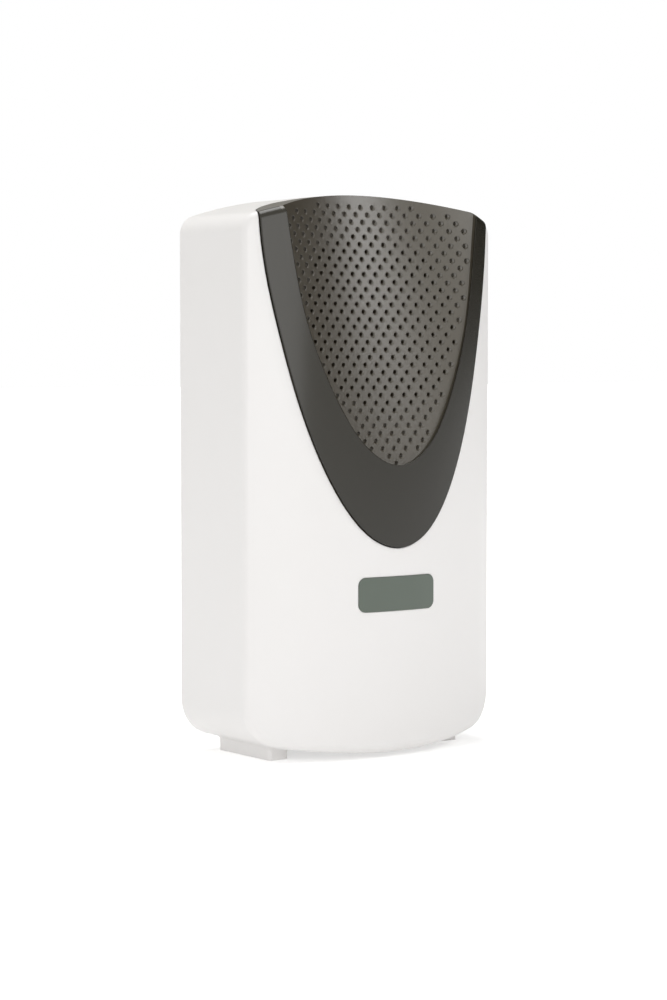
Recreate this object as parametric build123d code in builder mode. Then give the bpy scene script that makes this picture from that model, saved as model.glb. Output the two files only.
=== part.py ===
"""Wireless doorbell chime box: a battery case with a bowed front and a perforated speaker shield.

Millimetres. +Z is up, +Y points into the wall, +X is to the right of someone facing the box.
The origin is under the middle of the case, on the plane that the two feet stand on.
"""

import os
from math import atan, cos, floor, pi, radians, sin, sqrt

from build123d import *

os.makedirs("parts", exist_ok=True)

# Case: an arched outline, carried back from a front that is part of an upright cylinder
case_width = 85.4
case_depth = 45.0
case_height = 155.6
case_wall = 2.0
floor_gap = 1.3
front_radius = 76.5
top_arch_radius = 131.5
bottom_arch_radius = 203.0
top_corner_radius = 5.5
bottom_corner_radius = 11.0
front_edge_radius = 2.6
inner_edge_radius = 1.0
back_edge_radius = 0.8
overrun = 5.0
half_turn = 180

# Feet: two bars in the depth of the case
foot_inner_x = 26.6
foot_width = 6.4
foot_front_setback = 15.2
foot_length = 25.0
foot_corner_radius = 1.0
foot_root_radius = 1.2

# Shield: a tongue-shaped cover that runs from its tip up and over the top of the case
shield_proud = 0.6
shield_skin = 1.6
shield_gap = 0.25
shield_half_width = 39.2
shield_tip_height = 58.2
shield_top_setback = 21.2
shield_plan_radius = 14.0
shield_edge_shares = (
    (0.205, 0.025), (0.377, 0.089), (0.564, 0.2125), (0.718, 0.3676),
    (0.862, 0.582), (0.954, 0.767), (0.995, 0.925),
)
flange_reach = 2.0
flange_thickness = 1.2
flange_seat_gap = 0.05

# Recess of the shield: a hollow cone, leaning back towards the top, that holds the sound holes
recess_half_width = 33.6
recess_tip_height = 80.9
recess_edge_shares = (
    (0.28, 0.0536), (0.515, 0.187), (0.688, 0.348),
    (0.813, 0.509), (0.893, 0.669), (0.955, 0.85),
)
recess_centre_height = 120.4
recess_centre_depth = 10.2
recess_lean = 13.3
recess_radius = 86.2
recess_taper_share = 0.77
recess_reach = 190.0

# Sound holes: staggered rows, open over the loudspeaker and blind around it
hole_pitch = 4.0
hole_row_pitch = 2.09
hole_core_radius = 0.5
hole_rim_radius = 0.82
hole_rim_depth = 0.3
hole_blind_depth = 0.9
hole_edge_margin = 1.05
hole_top_margin = 2.0
hole_field_radius = 26.4
hole_lattice_drop = 3.5

# Plain plate under the shield
plate_width = 26.0
plate_height = 9.5
plate_corner_radius = 2.2
plate_centre_height = 45.5
plate_thickness = 0.6
plate_proud = 0.15
plate_gap = 0.05

# Loudspeaker, 57 mm, square to the leaning recess
speaker_radius = 28.5
speaker_seat_lip = 1.0
seat_ring_width = 2.0
cloth_thickness = 0.2
cloth_edge_gap = 0.1
gasket_thickness = 1.2
gasket_width = 2.9
frame_thickness = 0.8
basket_rim_radius = 25.6
basket_floor_radius = 17.0
basket_depth = 7.0
basket_step = 2.6
ledge_inner_radius = 14.6
ledge_outer_radius = 16.4
ledge_height = 1.2
basket_window_inner = 18.6
basket_window_outer = 23.6
basket_window_width = 12.0
top_plate_radius = 15.0
top_plate_thickness = 2.0
magnet_radius = 16.0
magnet_bore = 9.0
magnet_thickness = 4.5
magnet_edge_radius = 0.6
yoke_thickness = 2.0
pole_radius = 6.0
coil_inner_radius = 6.3
coil_former_wall = 0.12
coil_winding_wall = 0.25
coil_gap_radius = 7.0
coil_front_depth = 3.4
coil_length = 6.6
winding_length = 2.6
cone_outer_radius = 20.6
cone_neck_setback = 0.2
cone_thickness = 0.4
cone_rim_depth = 0.9
dust_cap_radius = 7.3
dust_cap_rise = 2.0
dust_cap_wall = 0.3
dust_cap_gap = 0.1
surround_sink = 1.2
surround_wall = 0.3
spider_radius = 15.9
spider_flat_radius = 14.4
spider_waves = 4
spider_wave_height = 0.5
spider_thickness = 0.25
glue_gap = 0.05
diaphragm_gap = 0.1

# Fixings of the loudspeaker
clamp_count = 4
clamp_ring_gap = 0.15
clamp_boss_radius = 2.5
clamp_width = 7.0
clamp_thickness = 1.0
clamp_bite = 1.6
clamp_tail = 2.6
clamp_corner_radius = 1.0
clamp_screw_length = 6.0
tag_strip_width = 12.0
tag_strip_height = 2.5
tag_strip_thickness = 1.0
tag_width = 1.8
tag_length = 4.0
tag_thickness = 0.4
tag_spacing = 6.0

# Screws
screw_radius = 1.25
screw_pilot_gap = 0.05
screw_head_radius = 2.3
screw_head_height = 1.3
screw_head_chamfer = 0.4
screw_clearance = 0.25
cross_width = 0.5
cross_length = 2.4
cross_depth = 0.7

# Rear cover
cover_wall = 2.0
cover_gap = 0.2
cover_screw_head_radius = 2.9
cover_screw_length = 12.0
cover_screw_sink = 0.15
cover_screw_cone_angle = 90
boss_radius = 3.0
boss_inset = 6.1
boss_low_height = 26.0
boss_high_height = 138.0
boss_high_depth = 18.6
boss_rib_thickness = 2.0
keyhole_spacing = 50.0
keyhole_height = 122.0
keyhole_head_radius = 4.25
keyhole_slot_radius = 2.1
keyhole_slot_rise = 7.0
pocket_depth = 6.0
pocket_wall = 1.2
pocket_margin = 1.2
scoop_width = 16.0
scoop_height = 6.0
scoop_depth = 1.2
scoop_corner_radius = 2.0

# Battery bay: four upright AA cells side by side
cell_radius = 7.15
cell_length = 50.5
cell_nub_radius = 2.75
cell_nub_height = 1.0
cell_edge_radius = 0.5
cell_count = 4
cell_gap = 0.6
bay_floor_height = 17.5
bay_wall = 1.5
bay_front_gap = 0.3
contact_thickness = 0.4
contact_width = 9.0
contact_height = 9.0
contact_bump_radius = 2.0
contact_bump_height = 0.6
spring_length = 6.0
spring_base_radius = 4.4
spring_tip_radius = 3.0
spring_wire = 0.7
contact_tab_width = 2.2
contact_tab_length = 3.5
contact_tab_gap = 0.3

# Battery door: hinged on two stub pins at its bottom edge
door_thickness = 1.8
door_gap = 0.25
door_cell_gap = 0.5
door_knuckle_radius = 1.05
door_pin_radius = 0.6
door_pin_length = 1.0
door_pin_clearance = 0.06
groove_count = 5
groove_pitch = 2.2
groove_width = 1.0
groove_depth = 0.5
groove_length = 18.0
latch_width = 12.0
latch_slit = 0.6
latch_drop = 8.0
latch_nose_height = 0.2
latch_nose_depth = 0.8

# Main board
board_thickness = 1.6
board_half_width = 31.0
board_low_height = 20.0
board_high_height = 82.0
board_screw_x = 26.5
board_screw_low = 27.0
board_screw_high = 74.0
standoff_height = 4.0
standoff_radius = 2.6
board_screw_length = 4.6

# Components on the board
chip_length = 10.0
chip_width = 7.6
chip_height = 1.75
chip_x = 4.0
chip_z = 52.0
pin_count = 8
pin_pitch = 1.27
pin_width = 0.42
pin_reach = 1.2
pin_thickness = 0.3
module_width = 15.0
module_height = 20.0
module_thickness = 1.0
module_lift = 1.0
module_x = -18.0
module_z = 60.0
header_pitch = 2.54
header_count = 5
header_width = 0.6
crystal_length = 8.0
crystal_width = 3.4
crystal_height = 2.6
coil_can_size = 5.0
coil_can_height = 3.0
capacitor_radius = 3.15
capacitor_height = 7.0
capacitor_spacing = 9.0
capacitor_x = 6.0
capacitor_z = 34.0
capacitor_edge_radius = 0.5
socket_width = 7.5
socket_height = 5.7
socket_depth = 5.8
speaker_socket_x = 10.0
speaker_socket_z = 74.0
battery_socket_x = -12.0
battery_socket_z = 27.0
switch_width = 6.0
switch_length = 6.0
switch_depth = 4.4
switch_bore_depth = 1.6
switch_spacing = 14.0
switch_centre_height = 61.0
plunger_radius = 1.3
plunger_reach = 1.6
plunger_clearance = 0.15

# Side buttons
button_radius = 3.0
button_edge_radius = 0.4
button_clearance = 0.15
button_sink = 0.1
button_flange_radius = 4.0
button_flange_thickness = 1.0
button_flange_gap = 0.1
button_stem_radius = 1.5
button_travel = 0.5

# Leads and antenna
lead_radius = 0.6
lead_spacing = 2.5
lead_bend_radius = 2.6
lead_drop = 6.0
lead_rise = 7.5
lead_under_bay = 4.5
antenna_radius = 0.4
antenna_bend_radius = 5.0
antenna_edge = 2.5
antenna_wall_gap = 6.0
antenna_rise_y = 5.0
antenna_top_height = 128.0
antenna_step_height = 86.0
antenna_step = 10.0

# Places worked out from the sizes above
back_y = (case_depth + shield_proud) / 2
front_y = back_y - case_depth
cover_inner_y = back_y - cover_wall
half_width = case_width / 2
shield_rear_y = front_y + shield_top_setback
bay_half_width = (cell_count * 2 * cell_radius + cell_count * cell_gap) / 2
bay_length = cell_length + spring_length + 2 * contact_thickness + contact_bump_height
bay_top_height = bay_floor_height + bay_length
door_inner_y = back_y - door_thickness
cell_centre_y = door_inner_y - door_cell_gap - cell_radius
bay_inner_y = cell_centre_y - cell_radius - bay_front_gap
bay_outer_y = bay_inner_y - bay_wall
board_back_y = bay_outer_y - standoff_height
board_front_y = board_back_y - board_thickness
boss_x = half_width - boss_inset
cell_pitch = 2 * cell_radius + cell_gap
plate_plane = Plane.XZ.offset(-front_y - overrun)
plate_prism_depth = 2 * overrun


def sagitta(radius, half_chord):
    """How far an arc of this radius falls away over half a chord."""
    return radius - sqrt(radius**2 - half_chord**2)


def case_outline(inset):
    """The case's front elevation, drawn in by inset: arched top and bottom, straight sides, round corners."""
    half = half_width - inset
    low = floor_gap + inset
    high = case_height - inset
    low_corner = low + sagitta(bottom_arch_radius - inset, half)
    high_corner = high - sagitta(top_arch_radius - inset, half)
    with BuildSketch() as outline:
        with BuildLine():
            ThreePointArc((-half, low_corner), (0, low), (half, low_corner))
            Line((half, low_corner), (half, high_corner))
            ThreePointArc((half, high_corner), (0, high), (-half, high_corner))
            Line((-half, high_corner), (-half, low_corner))
        make_face()
        fillet(outline.vertices().group_by(Axis.Y)[0], bottom_corner_radius - inset)
        fillet(outline.vertices().group_by(Axis.Y)[-1], top_corner_radius - inset)
    return outline.sketch


def case_form(inset, bulge=0.0, rear=back_y, edge_radius=0.0):
    """The solid that the case fills, drawn in by inset on every side but the rear."""
    radius = front_radius - inset + bulge
    front = front_y + inset - bulge
    with BuildPart() as form:
        with BuildSketch(Plane.XZ.offset(-rear)):
            add(case_outline(inset))
        extrude(amount=rear - front + overrun)
        with BuildSketch(Plane.XY.offset(-overrun)):
            with Locations((0, front + radius)):
                Circle(radius)
        extrude(amount=case_height + 2 * overrun, mode=Mode.INTERSECT)
        if edge_radius:
            front_face = form.faces().filter_by(GeomType.CYLINDER).sort_by(Axis.Y)[0]
            fillet(front_face.edges(), edge_radius)
    return form.part


def tongue(half, tip, edge_shares, grow, rear, plan_radius=0.0):
    """A block whose front elevation is a tongue, tip down, grown by grow on its edge."""
    height = case_height - tip
    middle = [(0, tip)] + [(x * half, tip + z * height) for x, z in edge_shares]
    middle.append((half, case_height + overrun))
    edge = []
    for index, (x, z) in enumerate(middle):
        before = middle[index - 1] if index else (-middle[1][0], middle[1][1])
        after = middle[min(index + 1, len(middle) - 1)]
        run = Vector(after[0] - before[0], after[1] - before[1], 0).normalized()
        if index == len(middle) - 1:
            run = Vector(0, 1, 0)
        edge.append((x + grow * run.Y, z - grow * run.X))
    with BuildPart() as block:
        with BuildSketch(Plane.XZ.offset(-rear)):
            with BuildLine():
                right = Spline(*edge, tangents=[(1, 0), (0, 1)], tangent_scalars=(1, 1))
                left = Spline(
                    *[(-x, z) for x, z in edge], tangents=[(-1, 0), (0, 1)], tangent_scalars=(1, 1)
                )
                Line(right @ 1, left @ 1)
            make_face()
        extrude(amount=rear - front_y + overrun)
        if plan_radius:
            depth = rear - front_y + overrun
            with BuildSketch(Plane.XY) as plan:
                with Locations((0, rear - depth / 2)):
                    Rectangle(2 * (half + grow + shield_gap), depth)
                fillet(plan.vertices().group_by(Axis.Y)[-1], plan_radius + grow)
            extrude(amount=case_height + 2 * overrun, mode=Mode.INTERSECT)
    return block.part


# Frame of the recess and the loudspeaker: lean_up runs up the recess, inward goes into the case
lean = radians(recess_lean)
recess_centre = Vector(0, front_y + recess_centre_depth, recess_centre_height)
lean_up = Vector(0, sin(lean), cos(lean))
inward = Vector(0, cos(lean), -sin(lean))
cone_half_angle = atan(recess_taper_share)
cone_apex = recess_centre + lean_up * (recess_radius / recess_taper_share)
cone_axis = lean_up * -cos(cone_half_angle) - inward * sin(cone_half_angle)
speaker_face = Plane(origin=recess_centre, x_dir=(1, 0, 0), z_dir=inward)
speaker_section = Plane(origin=recess_centre, x_dir=(1, 0, 0), z_dir=lean_up)
speaker_axis = Axis(recess_centre, inward)


def recess_cone(shift):
    """The hollow in front of the recess's floor, or with a shift, that hollow grown into the floor."""
    apex = cone_apex - cone_axis * (shift / sin(cone_half_angle))
    section = Plane(origin=apex, x_dir=(1, 0, 0), z_dir=Vector(1, 0, 0).cross(cone_axis))
    with BuildPart() as cone:
        with BuildSketch(section):
            with BuildLine():
                Polyline(
                    (0, 0), (recess_reach * recess_taper_share, recess_reach), (0, recess_reach), close=True
                )
            make_face()
        revolve(axis=Axis(apex, cone_axis))
    return cone.part


def recess_floor_y(x, z):
    """Where a line along Y at (x, z) meets the cone of the recess's floor."""
    rise = z - cone_apex.Z
    share = cos(cone_half_angle) ** 2
    a = cone_axis.Y**2 - share
    b = 2 * cone_axis.Y * cone_axis.Z * rise
    c = (cone_axis.Z * rise) ** 2 - share * (x**2 + rise**2)
    root = sqrt(b**2 - 4 * a * c)
    return cone_apex.Y + max((-b - root) / (2 * a), (-b + root) / (2 * a))


def recess_half_at(z):
    """Half the recess's width at height z, from the points of its edge."""
    height = case_height - recess_tip_height
    points = [(0, 0)] + list(recess_edge_shares) + [(1, 1)]
    share = (z - recess_tip_height) / height
    for (x0, z0), (x1, z1) in zip(points, points[1:]):
        if z0 <= share <= z1:
            return recess_half_width * (x0 + (x1 - x0) * (share - z0) / (z1 - z0))
    return 0.0


def hole_places():
    """Staggered places of the sound holes that lie inside the recess's edge and under the top."""
    places = []
    origin = recess_centre_height - hole_lattice_drop
    lowest = floor((recess_tip_height - origin) / hole_row_pitch)
    highest = floor((case_height - origin) / hole_row_pitch)
    for row in range(lowest, highest + 1):
        z = origin + row * hole_row_pitch
        shift = hole_pitch / 2 if row % 2 == 0 else 0.0
        reach = floor((case_width / 2) / hole_pitch)
        for column in range(-reach, reach + 1):
            x = column * hole_pitch + shift
            top = case_height - sagitta(top_arch_radius, abs(x)) - hole_top_margin
            if abs(x) <= recess_half_at(z) - hole_edge_margin and z <= top:
                places.append((x, z))
    return places


def turned(*profile):
    """Turns a profile of (radius, depth) points about the loudspeaker's axis, in the active part."""
    with BuildSketch(speaker_section) as section:
        with BuildLine():
            Polyline(*profile, close=True)
        make_face()
    revolve(section.sketch, axis=speaker_axis)


with BuildPart() as plate_pocket:
    with BuildSketch(plate_plane):
        with Locations((0, plate_centre_height)):
            RectangleRounded(
                plate_width + 2 * plate_gap, plate_height + 2 * plate_gap, plate_corner_radius + plate_gap
            )
    extrude(amount=plate_prism_depth)
    add(
        case_form(plate_thickness - plate_proud + plate_gap, rear=back_y + overrun),
        mode=Mode.SUBTRACT,
    )

# Front housing: bowed front, sides, top, bottom, feet and the pillars for the cover's screws
with BuildPart() as shield_opening:
    add(tongue(
        shield_half_width, shield_tip_height, shield_edge_shares,
        shield_gap, shield_rear_y + shield_gap, shield_plan_radius,
    ))

with BuildPart() as pillars:
    low_places = [(side * boss_x, boss_low_height) for side in (-1, 1)]
    high_places = [(side * boss_x, boss_high_height) for side in (-1, 1)]
    with BuildSketch(Plane.XZ.offset(-cover_inner_y)):
        with Locations(*low_places):
            Circle(boss_radius)
        with Locations(*[(side * (boss_x + boss_inset / 2), boss_low_height) for side in (-1, 1)]):
            Rectangle(boss_inset, boss_rib_thickness)
    extrude(amount=cover_inner_y - front_y)
    with BuildSketch(Plane.XZ.offset(-cover_inner_y)):
        with Locations(*high_places):
            Circle(boss_radius)
        with Locations(*[(side * (boss_x + boss_inset / 2), boss_high_height) for side in (-1, 1)]):
            Rectangle(boss_inset, boss_rib_thickness)
    extrude(amount=boss_high_depth)
    add(case_form(case_wall / 2), mode=Mode.INTERSECT)
    with BuildSketch(Plane.XZ.offset(-cover_inner_y)):
        with Locations(*low_places, *high_places):
            Circle(screw_radius + screw_pilot_gap)
    extrude(amount=cover_screw_length, mode=Mode.SUBTRACT)

button_y = board_front_y - switch_depth / 2
button_heights = [switch_centre_height + side * switch_spacing / 2 for side in (-1, 1)]
foot_y = front_y + foot_front_setback + foot_length / 2
foot_top = floor_gap + sagitta(bottom_arch_radius, foot_inner_x) + case_wall

with BuildPart() as front_housing:
    add(case_form(0.0, edge_radius=front_edge_radius))
    outer_back = front_housing.faces().sort_by(Axis.Y)[-1].edges()
    fillet(outer_back, back_edge_radius)
    with BuildSketch(Plane.XY):
        with Locations(*[(side * (foot_inner_x + foot_width / 2), foot_y) for side in (-1, 1)]):
            RectangleRounded(foot_width, foot_length, foot_corner_radius)
    extrude(amount=foot_top)
    foot_edges = front_housing.edges(Select.LAST)
    fillet(foot_edges.filter_by(lambda edge: edge.bounding_box().min.Z > floor_gap / 2), foot_root_radius)
    add(
        case_form(case_wall, rear=back_y + overrun, edge_radius=inner_edge_radius),
        mode=Mode.SUBTRACT,
    )
    add(shield_opening.part, mode=Mode.SUBTRACT)
    add(plate_pocket.part, mode=Mode.SUBTRACT)
    add(pillars.part)
    with BuildSketch(Plane.YZ.offset(half_width - 2 * case_wall)):
        with Locations(*[(button_y, z) for z in button_heights]):
            Circle(button_radius + button_clearance)
    extrude(amount=3 * case_wall, mode=Mode.SUBTRACT)
front_housing.part.label = "front_housing"

# Depths behind the middle of the recess's floor at which the loudspeaker's pieces lie
seat_depth = shield_skin + speaker_seat_lip
gasket_depth = seat_depth + cloth_thickness
frame_depth = gasket_depth + gasket_thickness
flange_back_depth = frame_depth + frame_thickness
basket_step_depth = frame_depth + basket_step
basket_floor_depth = frame_depth + basket_depth
ledge_depth = basket_floor_depth - ledge_height
top_plate_depth = basket_floor_depth + frame_thickness
magnet_depth = top_plate_depth + top_plate_thickness
yoke_depth = magnet_depth + magnet_thickness
clamp_circle = speaker_radius + clamp_ring_gap + clamp_boss_radius
clamp_start_angle = half_turn / clamp_count
mount_reach = recess_centre_depth + overrun

# Grille shield: the skin, the flange behind the case's wall, the recess and the loudspeaker's seat
shield_form = case_form(0.0, bulge=shield_proud, edge_radius=front_edge_radius)

with BuildPart() as recess_hollow:
    add(tongue(recess_half_width, recess_tip_height, recess_edge_shares, 0.0, back_y))
    add(recess_cone(0.0), mode=Mode.INTERSECT)

with BuildPart() as recess_floor:
    add(tongue(recess_half_width, recess_tip_height, recess_edge_shares, shield_skin, back_y))
    add(recess_cone(shield_skin), mode=Mode.INTERSECT)
    add(shield_form, mode=Mode.INTERSECT)
    add(recess_hollow.part, mode=Mode.SUBTRACT)

with BuildPart() as mount_clearing:
    add(tongue(recess_half_width, recess_tip_height, recess_edge_shares, 0.0, back_y))
    add(recess_cone(shield_skin / 2), mode=Mode.INTERSECT)

with BuildPart() as speaker_mounts:
    with BuildSketch(speaker_face.offset(-mount_reach)):
        Circle(speaker_radius)
        Circle(speaker_radius - seat_ring_width, mode=Mode.SUBTRACT)
    extrude(amount=mount_reach + seat_depth)
    with BuildSketch(speaker_face.offset(-mount_reach)):
        with PolarLocations(clamp_circle, clamp_count, start_angle=clamp_start_angle):
            Circle(clamp_boss_radius)
    extrude(amount=mount_reach + flange_back_depth)
    add(case_form(0.0), mode=Mode.INTERSECT)
    add(mount_clearing.part, mode=Mode.SUBTRACT)

with BuildPart() as shield_flange:
    add(case_form(case_wall + flange_seat_gap, edge_radius=inner_edge_radius))
    add(
        tongue(
            shield_half_width, shield_tip_height, shield_edge_shares,
            flange_reach, shield_rear_y + flange_reach, shield_plan_radius,
        ),
        mode=Mode.INTERSECT,
    )

with BuildPart() as shield_hollow:
    add(tongue(shield_half_width, shield_tip_height, shield_edge_shares, -shield_skin, back_y + overrun))
    add(case_form(shield_skin - shield_proud, rear=back_y + overrun), mode=Mode.INTERSECT)


def hole_cutter(depth):
    """A round core of this depth with a flared rim, standing on the origin and pointing along +Y."""
    flare = (hole_rim_radius - hole_core_radius) / hole_rim_depth
    lip = hole_rim_radius + flare * hole_rim_depth / 2
    with BuildPart() as cutter:
        with BuildSketch(Plane.XY):
            with BuildLine():
                Polyline(
                    (0, depth), (hole_core_radius, depth), (hole_core_radius, hole_rim_depth),
                    (lip, -hole_rim_depth / 2), (lip, -2 * hole_rim_depth), (0, -2 * hole_rim_depth),
                    close=True,
                )
            make_face()
        revolve(axis=Axis.Y)
    return cutter.part


# The holes over the loudspeaker go right through, and those around it are blind
open_cutter = hole_cutter(2 * shield_skin)
blind_cutter = hole_cutter(hole_blind_depth)
cutters = []
for x, z in hole_places():
    place = Vector(x, recess_floor_y(x, z), z)
    from_centre = place - recess_centre
    in_face = from_centre - inward * from_centre.dot(inward)
    is_open = in_face.length <= hole_field_radius - 2 * hole_core_radius
    cutters.append((open_cutter if is_open else blind_cutter).moved(Location(place)))

with BuildPart() as grille_shield:
    add(shield_form)
    add(
        tongue(
            shield_half_width, shield_tip_height, shield_edge_shares,
            0.0, shield_rear_y, shield_plan_radius,
        ),
        mode=Mode.INTERSECT,
    )
    add(shield_flange.part)
    add(shield_hollow.part, mode=Mode.SUBTRACT)
    add(
        case_form(case_wall + flange_seat_gap + flange_thickness, rear=back_y + overrun),
        mode=Mode.SUBTRACT,
    )
    add(recess_hollow.part, mode=Mode.SUBTRACT)
    add(recess_floor.part)
    add(speaker_mounts.part)
    with BuildSketch(speaker_face.offset(flange_back_depth)):
        with PolarLocations(clamp_circle, clamp_count, start_angle=clamp_start_angle):
            Circle(screw_radius + screw_pilot_gap)
    extrude(amount=-clamp_screw_length, mode=Mode.SUBTRACT)
    add(cutters, mode=Mode.SUBTRACT, clean=False)
grille_shield.part.label = "grille_shield"

# Plain plate, curved like the case's front, in a shallow pocket there
with BuildPart() as front_plate:
    with BuildSketch(plate_plane):
        with Locations((0, plate_centre_height)):
            RectangleRounded(plate_width, plate_height, plate_corner_radius)
    extrude(amount=plate_prism_depth)
    add(case_form(-plate_proud), mode=Mode.INTERSECT)
    add(case_form(plate_thickness - plate_proud, rear=back_y + overrun), mode=Mode.SUBTRACT)
front_plate.part.label = "front_plate"


def rings(*layers):
    """Flat rings about the loudspeaker's axis. Each layer is (outer, inner, depth, thickness)."""
    for outer, inner, depth, thickness in layers:
        with BuildSketch(speaker_face.offset(depth)) as layer:
            Circle(outer)
            if inner:
                Circle(inner, mode=Mode.SUBTRACT)
        extrude(layer.sketch, amount=thickness)


with BuildPart() as acoustic_cloth:
    rings((speaker_radius - cloth_edge_gap, 0, seat_depth, cloth_thickness))
acoustic_cloth.part.label = "acoustic_cloth"

with BuildPart() as speaker_gasket:
    rings((speaker_radius, speaker_radius - gasket_width, gasket_depth, gasket_thickness))
speaker_gasket.part.label = "speaker_gasket"

# Basket: pressed steel with a stepped rim, a ledge for the spider and windows in its sloping wall
rim_inner = basket_rim_radius - frame_thickness
floor_outer = basket_floor_radius + frame_thickness
with BuildPart() as speaker_frame:
    turned(
        (rim_inner, frame_depth), (speaker_radius, frame_depth),
        (speaker_radius, flange_back_depth), (basket_rim_radius, flange_back_depth),
        (basket_rim_radius, basket_step_depth), (floor_outer, basket_floor_depth),
        (floor_outer, top_plate_depth), (coil_gap_radius, top_plate_depth),
        (coil_gap_radius, basket_floor_depth), (ledge_inner_radius, basket_floor_depth),
        (ledge_inner_radius, ledge_depth), (ledge_outer_radius, ledge_depth),
        (ledge_outer_radius, basket_floor_depth), (basket_floor_radius, basket_floor_depth),
        (rim_inner, basket_step_depth),
    )
    with BuildSketch(speaker_face.offset(basket_step_depth)):
        window_middle = (basket_window_inner + basket_window_outer) / 2
        with PolarLocations(window_middle, clamp_count, start_angle=clamp_start_angle):
            Rectangle(basket_window_outer - basket_window_inner, basket_window_width)
    extrude(amount=basket_floor_depth - basket_step_depth, mode=Mode.SUBTRACT)
speaker_frame.part.label = "speaker_frame"

with BuildPart() as speaker_top_plate:
    rings((top_plate_radius, coil_gap_radius, top_plate_depth, top_plate_thickness))
speaker_top_plate.part.label = "speaker_top_plate"

with BuildPart() as speaker_magnet:
    rings((magnet_radius, magnet_bore, magnet_depth, magnet_thickness))
    outer_edges = speaker_magnet.edges().filter_by(GeomType.CIRCLE).group_by(SortBy.RADIUS)[-1]
    fillet(outer_edges, magnet_edge_radius)
speaker_magnet.part.label = "speaker_magnet"

with BuildPart() as speaker_yoke:
    rings(
        (top_plate_radius, 0, yoke_depth, yoke_thickness),
        (pole_radius, 0, top_plate_depth, yoke_depth - top_plate_depth),
    )
speaker_yoke.part.label = "speaker_yoke"

# Moving part of the loudspeaker: coil, cone and dust cap
coil_depth = frame_depth + coil_front_depth
coil_outer = coil_inner_radius + coil_former_wall
winding_depth = top_plate_depth + (top_plate_thickness - winding_length) / 2
with BuildPart() as voice_coil:
    rings(
        (coil_outer, coil_inner_radius, coil_depth, coil_length),
        (coil_outer + coil_winding_wall, coil_inner_radius, winding_depth, winding_length),
    )
voice_coil.part.label = "voice_coil"

cone_inner = coil_outer + glue_gap
cone_neck = coil_depth + cone_neck_setback
cone_rim = frame_depth + cone_rim_depth
with BuildPart() as speaker_cone:
    turned(
        (cone_inner, cone_neck), (cone_outer_radius, cone_rim),
        (cone_outer_radius, cone_rim + cone_thickness), (cone_inner, cone_neck + cone_thickness),
    )
speaker_cone.part.label = "speaker_cone"

cap_rim = coil_depth - dust_cap_gap
cap_inner = dust_cap_radius - dust_cap_wall
with BuildPart() as dust_cap:
    with BuildSketch(speaker_section):
        with BuildLine():
            ThreePointArc((-dust_cap_radius, cap_rim), (0, cap_rim - dust_cap_rise), (dust_cap_radius, cap_rim))
            Line((dust_cap_radius, cap_rim), (cap_inner, cap_rim))
            ThreePointArc(
                (cap_inner, cap_rim), (0, cap_rim - dust_cap_rise + dust_cap_wall), (-cap_inner, cap_rim)
            )
            Line((-cap_inner, cap_rim), (-dust_cap_radius, cap_rim))
        make_face()
        with Locations((-dust_cap_radius, cap_rim)):
            Rectangle(2 * dust_cap_radius, 2 * dust_cap_radius, mode=Mode.SUBTRACT)
    revolve(axis=speaker_axis)
dust_cap.part.label = "dust_cap"

# Surround: half a roll, sunk towards the basket, between the cone's rim and the frame
roll_inner = cone_outer_radius + diaphragm_gap
roll_outer = rim_inner - glue_gap
roll_middle = (roll_inner + roll_outer) / 2
with BuildPart() as speaker_surround:
    with BuildSketch(speaker_section):
        with BuildLine():
            ThreePointArc((roll_inner, cone_rim), (roll_middle, cone_rim + surround_sink), (roll_outer, cone_rim))
            Line((roll_outer, cone_rim), (roll_outer - surround_wall, cone_rim))
            ThreePointArc(
                (roll_outer - surround_wall, cone_rim),
                (roll_middle, cone_rim + surround_sink - surround_wall),
                (roll_inner + surround_wall, cone_rim),
            )
            Line((roll_inner + surround_wall, cone_rim), (roll_inner, cone_rim))
        make_face()
    revolve(axis=speaker_axis)
speaker_surround.part.label = "speaker_surround"

# Spider: a corrugated disc between the coil and the basket's ledge
spider_inner = coil_outer + diaphragm_gap
spider_front = ledge_depth - glue_gap - spider_thickness
spider_crests = [(spider_inner, spider_front)]
for wave in range(2 * spider_waves):
    along = (2 * wave + 1) / (4 * spider_waves)
    swing = spider_wave_height if wave % 2 else -spider_wave_height
    spider_crests.append((spider_inner + (spider_flat_radius - spider_inner) * along, spider_front + swing))
spider_crests.append((spider_flat_radius, spider_front))
spider_crests.append((spider_radius, spider_front))
with BuildPart() as speaker_spider:
    turned(*spider_crests, *[(radius, depth + spider_thickness) for radius, depth in reversed(spider_crests)])
speaker_spider.part.label = "speaker_spider"

# Tag strip on the back of the loudspeaker's rim, at its lowest point, with two solder tags
strip_middle = (basket_rim_radius + speaker_radius) / 2
tag_back_depth = flange_back_depth + tag_strip_thickness
tag_depth = tag_back_depth + tag_thickness / 2
with BuildPart() as speaker_tag_strip:
    with BuildSketch(speaker_face.offset(flange_back_depth)):
        with Locations((0, strip_middle)):
            Rectangle(tag_strip_width, tag_strip_height)
    extrude(amount=tag_strip_thickness)
    with BuildSketch(speaker_face.offset(tag_back_depth)):
        with Locations(*[(side * tag_spacing / 2, strip_middle + tag_length / 2) for side in (-1, 1)]):
            Rectangle(tag_width, tag_length)
    extrude(amount=tag_thickness)
speaker_tag_strip.part.label = "speaker_tag_strip"

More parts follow.
